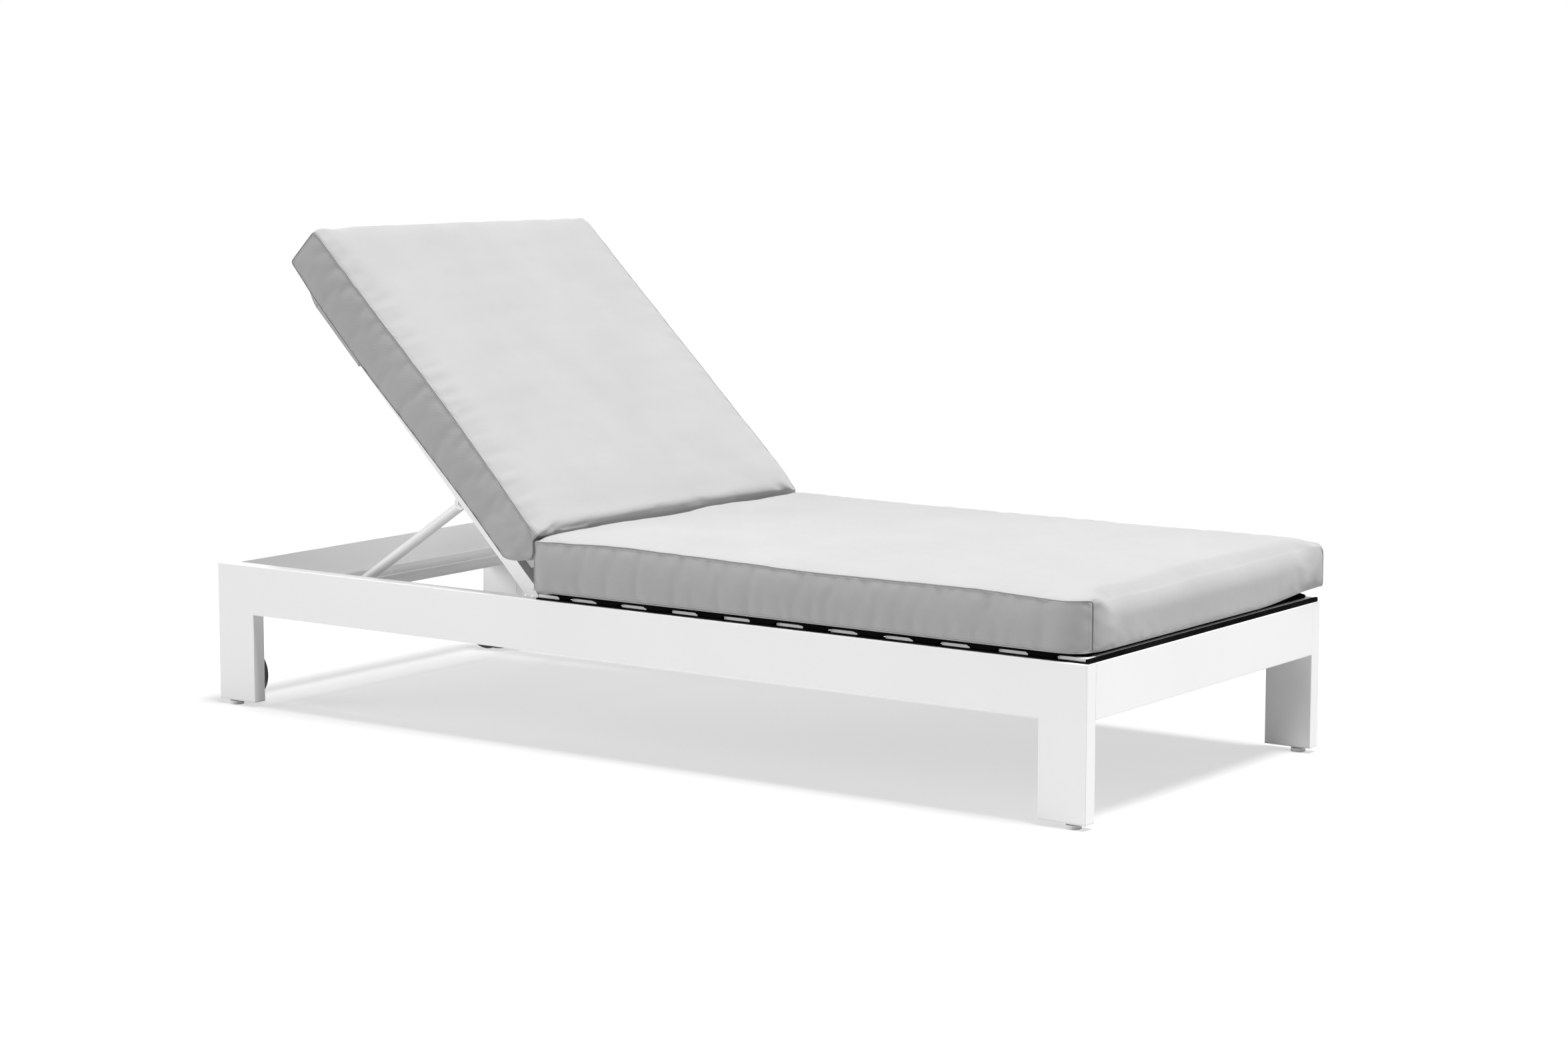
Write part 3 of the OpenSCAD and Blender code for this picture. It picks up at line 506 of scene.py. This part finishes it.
# %% Fill a cover
def fill_cover(piece, held, most, spare, pressure=4.0, frames=20):
    """Runs the cloth of a cover and keeps its shape. held: 1 where a point stays put, 0 where it is free.
    most: how far each point may go. New place = start + movement * min(1, most / length of movement)."""
    start = points_of(piece.data)
    group = piece.vertex_groups.new(name="held")
    group.add(np.flatnonzero(held > 0.5).tolist(), 1.0, "REPLACE")
    cloth = piece.modifiers.new("cover", "CLOTH")
    cloth.settings.quality = 5
    cloth.settings.mass = 0.25
    cloth.settings.tension_stiffness = cloth.settings.compression_stiffness = 25.0
    cloth.settings.shear_stiffness = 12.0
    cloth.settings.bending_stiffness = 0.4
    cloth.settings.air_damping = 2.0
    cloth.settings.shrink_min = -spare
    cloth.settings.use_pressure = True
    cloth.settings.uniform_pressure_force = pressure
    cloth.settings.vertex_group_mass = group.name
    cloth.settings.effector_weights.gravity = 0.0
    cloth.collision_settings.use_collision = False
    cloth.point_cache.frame_start, cloth.point_cache.frame_end = 1, frames
    scene = bpy.context.scene
    for number in range(1, frames + 1):
        scene.frame_set(number)
    settled = points_of(piece.evaluated_get(bpy.context.evaluated_depsgraph_get()).data)
    piece.modifiers.remove(cloth)
    piece.vertex_groups.remove(group)
    scene.frame_set(1)
    move = settled - start
    length = np.linalg.norm(move, axis=1)
    share = most * np.tanh(length / np.maximum(most, 1e-6)) / np.maximum(length, 1e-9)
    final = start + move * share[:, None]
    piece.data.vertices.foreach_set("co", final.astype(np.float32).ravel())
    piece.data.update()
    print(piece.name, "moved up to %.1f mm, kept up to %.1f mm" % (1000 * length.max(), 1000 * most.max()))


def subdivide(piece, levels=1):
    """One or more levels of smoothing, the same in the view and in the render."""
    modifier = piece.modifiers.new("smooth", "SUBSURF")
    modifier.levels = modifier.render_levels = levels


def crease_seams(piece, rings):
    """Keeps the seams sharp under subdivision by creasing the edges whose two points lie on one seam."""
    mesh = piece.data
    ends = np.empty(len(mesh.edges) * 2, dtype=np.int32)
    mesh.edges.foreach_get("vertices", ends)
    ends = ends.reshape(-1, 2)
    sharp = np.zeros(len(mesh.edges), dtype=np.float32)
    for ring in rings:
        on_ring = np.zeros(len(mesh.vertices), dtype=bool)
        on_ring[ring] = True
        sharp[on_ring[ends].all(axis=1)] = 1.0
    mesh.attributes.new("crease_edge", "FLOAT", "EDGE").data.foreach_set("value", sharp)


print("cloth runs")

# %% [markdown]
# ## Welts
# A thin cord is sewn into both seams of a cushion. It is a tube carried along the seam's own points, so it
# follows every pucker.

# %% A tube along a closed line
def smooth_ring(line, times):
    """Averages each point of a closed line with its neighbours, a few times over."""
    for _ in range(times):
        line = (np.roll(line, 1, axis=0) + 2 * line + np.roll(line, -1, axis=0)) / 4
    return line


def tube_along(name, line, radius, material, sides=8):
    """Tube around a closed line in a side of a cushion: at each point a circle lies across the line."""
    ahead = np.roll(line, -1, axis=0) - np.roll(line, 1, axis=0)
    ahead /= np.linalg.norm(ahead, axis=1, keepdims=True)
    right = np.cross(ahead, np.broadcast_to(across, line.shape))
    right /= np.linalg.norm(right, axis=1, keepdims=True)
    lift = np.cross(right, ahead)
    turn = np.linspace(0, 2 * np.pi, sides, endpoint=False)
    circle = right[:, None] * np.cos(turn)[:, None] + lift[:, None] * np.sin(turn)[:, None]
    points = line[:, None] + radius * circle
    rows = np.vstack([np.arange(len(line) * sides).reshape(-1, sides), np.arange(sides)])
    faces = rows.reshape(-1)[cells(len(rows), sides, closed=True)]
    step = np.linalg.norm(np.roll(line, -1, axis=0) - line, axis=1)
    along = np.concatenate([[0.0], np.cumsum(step)])
    u, v = np.meshgrid(along, np.linspace(0, 2 * np.pi * radius, sides + 1), indexing="ij")
    uv = np.stack([u, v], axis=-1).reshape(-1, 2)[cells(len(rows), sides + 1)]
    return new_piece(name, points, faces[:, ::-1], uv[:, ::-1], material)


welt_radius = 0.0012
print("welts are", 2000 * welt_radius, "mm thick")

# %% [markdown]
# ## Seat cushion
# The seat cushion is 1.22 m long. The cover rolls softly over its foot end, while the near side strip curves
# in before the corner and ends in a sharp upright seam, and the foot end curves back to meet it. The near
# seam swells a little where the back cushion leans on it, and the far foot corner has lifted off the frame.

# %% Seat cushion's measures
seat_low, seat_high = [np.array(corner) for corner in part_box("seat_cushion")]
crown = 0.010
seat_a = (seat_high[0] - seat_low[0]) / 2
seat_b = (seat_high[1] - seat_low[1]) / 2
seat_h = (seat_high[2] - crown - seat_low[2]) / 2
seat_mid_x = (seat_high[0] + seat_low[0]) / 2
from_hinge = np.array([0.033, 0.138, 0.240, 0.329, 0.437, 0.534, 0.628, 0.706, 1.044, 1.134, 1.213, 1.244])
near_seam_z = np.array([0.4015, 0.405, 0.408, 0.406, 0.404, 0.402, 0.399, 0.399, 0.401, 0.3976, 0.3957, 0.396])
near_seam_height = soft_line(hinge[0] + from_hinge, near_seam_z, blur=0.030)
far_seam_z = 0.4005
seat_rise = 0.0065
seat_swell = 0.0085
seat_gather = 0.0016
foot_roll = 0.043
far_foot_lift = 0.013
near_turn_in, far_turn_in = 0.034, 0.006
near_turn_from, far_foot_out = 0.080, 0.004
near_corner_round = 0.012
seam_wander = 0.0007
side_bulge = 0.002
edge_pull = 0.004
seat_ripple = ripples(seed=3, count=14, longest=0.50, shortest=0.12)
seat_pucker = ripples(seed=5, count=20, longest=0.080, shortest=0.024)
seam_waver = ripples(seed=7, count=16, longest=0.120, shortest=0.025)
print("seat cushion: %.0f by %.0f by %.0f mm" % (2000 * seat_a, 2000 * seat_b, 2000 * seat_h))


# %% Seat cushion's surface
def seat_surface(x, y, z):
    """Side view = rectangle with bent corners, softer away from the seams. Height = between the base and the
    seam's height, plus a rise that is steep beside the seams. The sides curve in before the foot corners."""
    inward = seat_b - np.abs(y)
    away = smooth_step(inward / 0.075)
    foot_top, head_top = (x > 0) & (z > 0), (x < 0) & (z > 0)
    at_seam = np.where(foot_top & (y > 0), 0.020, 0.007)
    radius = at_seam + away * np.where(foot_top, foot_roll - at_seam, np.where(head_top, 0.022, 0.004))
    px, pz = bent_corners(x, z, seat_a, seat_h, radius)
    share = (pz + seat_h) / (2 * seat_h)
    to_near = (1 - y / seat_b) / 2
    place = seat_mid_x + px
    seam = to_near * near_seam_height(place) + (1 - to_near) * far_seam_z + seam_wander * seam_waver(x, y)
    steep = 0.5 * (1 - np.exp(-inward / 0.014)) + 0.5 * (1 - np.exp(-inward / 0.045))
    pucker = seat_gather * seat_pucker(x, 0.4 * y) * np.exp(-inward / 0.026) * (1 - np.exp(-inward / 0.004))
    rise = steep * (seat_rise + 0.0022 * seat_ripple(x, y)) + pucker
    lift = far_foot_lift * smooth_step((x - seat_a + 0.17) / 0.17) * smooth_step((y - seat_b + 0.24) / 0.24)
    base = seat_low[2] + 0.0005 + lift + 0.0015 * np.exp(-inward / 0.01)
    height = base + share * (seam - base) + share ** 3 * rise
    to_corner = np.clip((x - seat_a + near_turn_from) / near_turn_from, 0, 1)
    turn_in = np.where(y < 0, near_turn_in, far_turn_in) * to_corner ** 3.2
    turn_in = turn_in + 0.004 * np.clip((-x - seat_a + 0.03) / 0.03, 0, 1) ** 2
    pull = edge_pull * (1 - (x / seat_a) ** 2)
    width = (seat_b - turn_in - pull) / seat_b
    round_near = np.where(y < 0, near_corner_round * np.exp(-inward / 0.026), 0.0)
    end = np.where(x > 0, 0.003 + far_foot_out * (y > 0) * (y / seat_b) ** 2 - round_near, 0.0)
    end = end * np.abs(x / seat_a) ** 12
    side = np.minimum(seat_a - np.abs(x), seat_h - np.abs(z))
    bulge = np.where(inward < 1e-9, side_bulge * (1 - np.exp(-side / 0.02)), 0.0)
    return np.stack([place + end, np.sign(y) * (np.abs(y) * width + bulge), height], axis=-1)


points, faces, uv, seam_uv, flat, seat_seams = boxed_cushion(seat_a, seat_b, seat_h, 0.010, seat_surface)
seat_pad = new_piece("seat_pad", points, faces, uv, cushion_cloth, seam_uv)
print("seat cushion:", len(faces), "faces before subdivision")

# %% Fill the seat cushion
x, y, z = flat
held = np.zeros(len(points))
held[np.concatenate(seat_seams)] = 1.0
held[z < -seat_h + 1e-6] = 1.0
on_side = np.abs(y) > seat_b - 1e-6
most = np.where(on_side, 0.0035, seat_swell)
on_foot = np.where((x > seat_a - 1e-6) & ~on_side, 0.35 + 0.45 * (z + seat_h) / (2 * seat_h), 1.0)
near_foot = np.where(on_side, 1.0, 1.0 - 0.2 * smooth_step((x - seat_a + 0.10) / 0.10))
near_corner = smooth_step((x - seat_a + 0.12) / 0.10) * smooth_step((0.09 - seat_b - y) / 0.08)
near_foot = near_foot * (1.0 - 0.75 * near_corner)
most = most * np.where(x < -seat_a + 1e-6, 0.1, 1.0) * on_foot * near_foot
fill_cover(seat_pad, held, most, spare=0.012)
crease_seams(seat_pad, seat_seams)
subdivide(seat_pad)
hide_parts("seat_cushion")
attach(seat_pad, "frame")
for label, ring in zip(("near", "far"), seat_seams):
    welt = tube_along("seat_welt_" + label, smooth_ring(points[ring], 1), welt_radius, cushion_cloth)
    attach(welt, "frame")
    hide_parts("seat_cushion")
print("seat cushion's top is at %.3f m" % points_of(seat_pad.data)[:, 2].max())

# %% [markdown]
# ## Black base cloth
# Under the seat cushion lies a black padded cloth that keeps it from slipping. It sags between the slats, so
# that from the side the slats' white ends show in one black band over the rail.

# %% Base cloth
base_low, base_high = [np.array(corner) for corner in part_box("seat_underside")]
strip_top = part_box("rail_strips")[0][2] + 0.0027
slat_names = [name for name in frame["nodes"] if name.startswith("seat_slat_") or name == "seat_end_slat"]
slat_boxes = [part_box(name) for name in slat_names]
slat_spans = np.array([[low[0], high[0]] for low, high in slat_boxes])
base_mid_x = (base_high[0] + base_low[0]) / 2
base_a = (base_high[0] - base_low[0]) / 2 + 0.006
base_b = base_high[1] + 0.008
base_h = (base_high[2] - base_low[2]) / 2


def over_slat(x):
    """1 over a slat, 0 between slats, with a short even slope beside each slat's edge."""
    edges = np.abs(x[..., None] - slat_spans.mean(axis=1)) - (slat_spans[:, 1] - slat_spans[:, 0]) / 2
    return 1 - smooth_step((edges.min(axis=-1) + 0.001) / 0.010)


def base_surface(x, y, z):
    """A slab with rounded edges. Its top is flat, and its underside drops between the slats."""
    px, pz = bent_corners(x, z, base_a, base_h, np.full_like(x, 0.0024))
    share = (pz + base_h) / (2 * base_h)
    place = base_mid_x + px
    under = strip_top + (base_low[2] + 0.0002 - strip_top) * over_slat(place)
    top = base_high[2] + 0.0012
    inset = 0.0022 * (1 - np.sqrt(np.clip(1 - (pz / base_h) ** 2, 0, 1)))
    turn_in = 0.025 * np.clip((np.abs(x) - base_a + 0.065) / 0.065, 0, 1) ** 2
    width = (base_b - turn_in - np.where(np.abs(y) > base_b - 0.004, inset, 0)) / base_b
    return np.stack([place, y * width, under + share * (top - under)], axis=-1)


points, faces, uv = boxed_cushion(base_a, base_b, base_h, 0.011, base_surface)[:3]
base_pad = new_piece("seat_base_cloth", points, faces, uv, base_cloth)
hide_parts("seat_underside")
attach(base_pad, "frame")
print("base cloth:", len(faces), "faces; it drops to %.4f m" % points[:, 2].min())

# %% [markdown]
# ## Back cushion
# The back cushion is built flat in the same way and then laid on the tilted back. Its seams were measured up
# the back and out of its front. Its lower end is pressed flat on the seat cushion's rear face, so the foam
# sags there and the cover crumples at the lower corners.

# %% Back cushion's measures
pad_width = reach("back_cushion", across, hinge)
back_a = (pad_high - pad_low) / 2
back_b = (pad_width[1] - pad_width[0]) / 2
back_h = (pad_front - pad_back - crown) / 2
front_near = soft_line([0.062, 0.082, 0.217, 0.375, 0.644, 0.781, 0.848],
                       [0.116, 0.112, 0.116, 0.118, 0.1135, 0.1135, 0.113], blur=0.015)
front_far = soft_line([0.068, 0.106, 0.400, 0.733, 0.838], [0.104, 0.112, 0.109, 0.102, 0.099], blur=0.03)
rear_edge = soft_line([0.084, 0.216, 0.353, 0.540, 0.606, 0.734, 0.761, 0.815, 0.852],
                      [0.022, 0.022, 0.018, 0.0125, 0.012, 0.0155, 0.017, 0.022, 0.025], blur=0.02)
low_end = soft_line([0.0, 0.15, 0.35, 0.55, 0.75, 1.0], [0.018, 0.0, -0.016, -0.027, -0.026, -0.004], blur=0.05)
top_near, top_far, low_at = 0.850, 0.842, 0.066
rear_rest = 0.0160
back_rise = 0.012
back_swell = 0.0085
back_gather = 0.0017
top_bulge = 0.013
crumple_depth = 0.0035
back_ripple = ripples(seed=11, count=14, longest=0.42, shortest=0.11)
back_pucker = ripples(seed=13, count=16, longest=0.170, shortest=0.034)
crumple = ripples(seed=17, count=14, longest=0.060, shortest=0.020)
seat_rear = seat_low[0] - 0.0006
print("back cushion: %.0f by %.0f by %.0f mm" % (2000 * back_a, 2000 * back_b, 2000 * back_h))


# %% Back cushion's surface
def clear_of_seat(points):
    """Points that would lie in the seat cushion's rear end move back to its rear face."""
    free = points.copy()
    pressed = (points[:, 2] < seat_high[2] + 0.002) & (points[:, 0] > seat_rear)
    free[pressed, 0] = seat_rear
    return free


def back_surface(x, y, z):
    """As the seat's surface, with x down the back. Depth runs between the measured front and rear edges, and
    the lower end is pushed out by low_end of the thickness share, which fades upwards. The sides crumple
    near the lower end, and the top end bulges between its seams."""
    inward = back_b - np.abs(y)
    away = smooth_step(inward / 0.060)
    radius = np.where(x < 0, 0.007 + 0.012 * away, 0.007 + 0.010 * away)
    px, pz = bent_corners(x, z, back_a, back_h, radius)
    share = (pz + back_h) / (2 * back_h)
    down = (px + back_a) / (2 * back_a)
    to_near = (1 - y / back_b) / 2
    top_at = to_near * top_near + (1 - to_near) * top_far
    up = top_at + (low_at - top_at) * down + low_end(share) * down ** 9
    front = to_near * front_near(up) + (1 - to_near) * front_far(up) + 0.0008 * seam_waver(x, y)
    over_edge = smooth_step((np.abs(y) - back_b + 0.040) / 0.030)
    rear = rear_rest + (rear_edge(up) - rear_rest) * over_edge
    steep = 0.55 * (1 - np.exp(-inward / 0.014)) + 0.45 * (1 - np.exp(-inward / 0.055))
    pucker = back_gather * back_pucker(x, 0.4 * y) * np.exp(-inward / 0.040) * (1 - np.exp(-inward / 0.005))
    rise = steep * (back_rise + 0.0022 * back_ripple(x, y)) + pucker
    out = rear + share * (front - rear) + share ** 3 * rise
    up = up + top_bulge * steep * (1 - down) ** 10
    pull = edge_pull * (1 - (x / back_a) ** 2)
    side = np.minimum(back_a - np.abs(x), back_h - np.abs(z))
    bulge = side_bulge * (1 - np.exp(-side / 0.02))
    near_low_end, off_seam = np.exp(-(back_a - x) / 0.055), 1 - np.exp(-side / 0.007)
    bulge = bulge + crumple_depth * crumple(x, z) * near_low_end * off_seam
    bulge = np.where(inward < 1e-9, bulge, 0.0)
    width = (back_b - pull) / back_b
    return on_back(up, np.sign(y) * (np.abs(y) * width + bulge), out)


points, faces, uv, seam_uv, flat, back_seams = boxed_cushion(back_a, back_b, back_h, 0.010, back_surface)
points = clear_of_seat(points)
back_pad_piece = new_piece("back_pad", points, faces, uv, cushion_cloth, seam_uv)
print("back cushion:", len(faces), "faces before subdivision")

# %% Fill the back cushion
x, y, z = flat
held = np.zeros(len(points))
held[np.concatenate(back_seams)] = 1.0
held[z < -back_h + 1e-6] = 1.0
on_side = np.abs(y) > back_b - 1e-6
most = np.where(on_side, 0.0035, back_swell)
most = most * np.where((x > back_a - 1e-6) & ~on_side, 0.35, 1.0)
most = most * (1.0 - 0.7 * smooth_step((0.050 - back_a - x) / 0.050))
fill_cover(back_pad_piece, held, most, spare=0.014)
settled = clear_of_seat(points_of(back_pad_piece.data))
back_pad_piece.data.vertices.foreach_set("co", settled.astype(np.float32).ravel())
back_pad_piece.data.update()
crease_seams(back_pad_piece, back_seams)
subdivide(back_pad_piece)
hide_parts("back_cushion")
back_pieces = [back_pad_piece]
for label, ring in zip(("near", "far"), back_seams):
    welt = tube_along("back_welt_" + label, smooth_ring(settled[ring], 1), welt_radius, cushion_cloth)
    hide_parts("back_cushion")
    back_pieces.append(welt)
print("back cushion's top is at %.3f m" % settled[:, 2].max())

# %% [markdown]
# As the back goes flat, the cushion slides down its frame and its lower end is pressed shorter against the
# seat cushion. Here each piece of the back cushion only has its placing baked into its points.

# %% Bake the back cushion's pieces in place
for piece in back_pieces:
    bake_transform(piece)

# %% [markdown]
# ## Pocket behind the back cushion
# A pocket of the same cloth is sewn to the back of the cushion near its top. It slips over the top of the
# back frame and holds the cushion there. As the back goes flat, the cushion slides down over the frame, so
# the pocket is two sheets that meet over the frame's top edge: one goes from the seam to the frame, and one
# from the frame down to the hem. Each bends between the cushion and the frame.

# %% Pocket's surface
frame_top = reach("back_top_tube", up_back, hinge)[1] + 0.001
hood_low, hood_high = reach("cushion_hood", up_back, hinge)
hood_back, hood_front = reach("cushion_hood", out_front, hinge)
hood_half = reach("cushion_hood", across, hinge)[1]
sewn_at = hood_high - 0.003
sewn_half = back_b - 0.005
hood_ripple = ripples(seed=21, count=12, longest=0.30, shortest=0.09)
hood_dip = 0.0025
hood_columns = 141
edge_at, edge_width = 0.88, 0.12
cloth_thick = 0.0012


def hood_sheet(name, up_from, up_to, tight_of, rows):
    """One sheet of the pocket between two heights up the back. Across it, t goes from -1 at one seam to 1 at
    the other, and beyond edge_at the sheet turns from the frame's back to the cushion's side. tight_of(up) is 0
    where the sheet lies on the cushion and 1 where it is drawn tight round the frame."""
    t = np.sin(np.linspace(-np.pi / 2, np.pi / 2, hood_columns))
    t = 0.5 * t + 0.5 * np.linspace(-1, 1, hood_columns)
    up = np.linspace(up_from, up_to, rows)
    grid_up, grid_t = np.meshgrid(up, t, indexing="ij")
    tight = tight_of(grid_up)
    side = np.clip((np.abs(grid_t) - edge_at) / edge_width, 0.0, 1.0)
    seam_out = rear_edge(grid_up) + 0.002
    corner_y = sewn_half + (hood_half - sewn_half) * smooth_step(tight / 0.45)
    back_out = seam_out + (hood_back - seam_out) * tight
    flare = (sewn_half - corner_y) * smooth_step((side - 0.62) / 0.38) + 0.002 * smooth_step(side / 0.5) * tight
    y = np.sign(grid_t) * (corner_y * np.minimum(np.abs(grid_t) / edge_at, 1) + flare)
    out = back_out + (seam_out - back_out) * side
    dip = hood_dip * (1 - grid_t ** 2) * hood_ripple(y, grid_up) * tight
    points = on_back(grid_up, y, out + dip)
    faces = cells(rows, len(t))
    uv = np.stack([y, grid_up], axis=-1).reshape(-1, 2)[faces]
    piece = new_piece(name, points, faces, uv, cushion_cloth)
    wall = piece.modifiers.new("cloth", "SOLIDIFY")
    wall.thickness = cloth_thick
    wall.offset = 0.0
    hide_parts("cushion_hood")
    girth = np.linalg.norm(np.diff(points[-1], axis=0), axis=1).sum()
    return piece, float(girth)


def drawn_tight(up):
    """0 at the sewn edge, 1 at the frame's top edge."""
    return smooth_step((sewn_at - up) / (sewn_at - frame_top)) ** 0.8


hood_upper, girth = hood_sheet("pocket_upper", sewn_at, frame_top, drawn_tight, 17)
hood_lower, girth = hood_sheet("pocket_lower", frame_top, hood_low, np.ones_like, 25)
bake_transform(hood_upper)
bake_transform(hood_lower)
print("pocket is %.0f mm long and %.0f mm round" % (1000 * (sewn_at - hood_low), 1000 * girth))
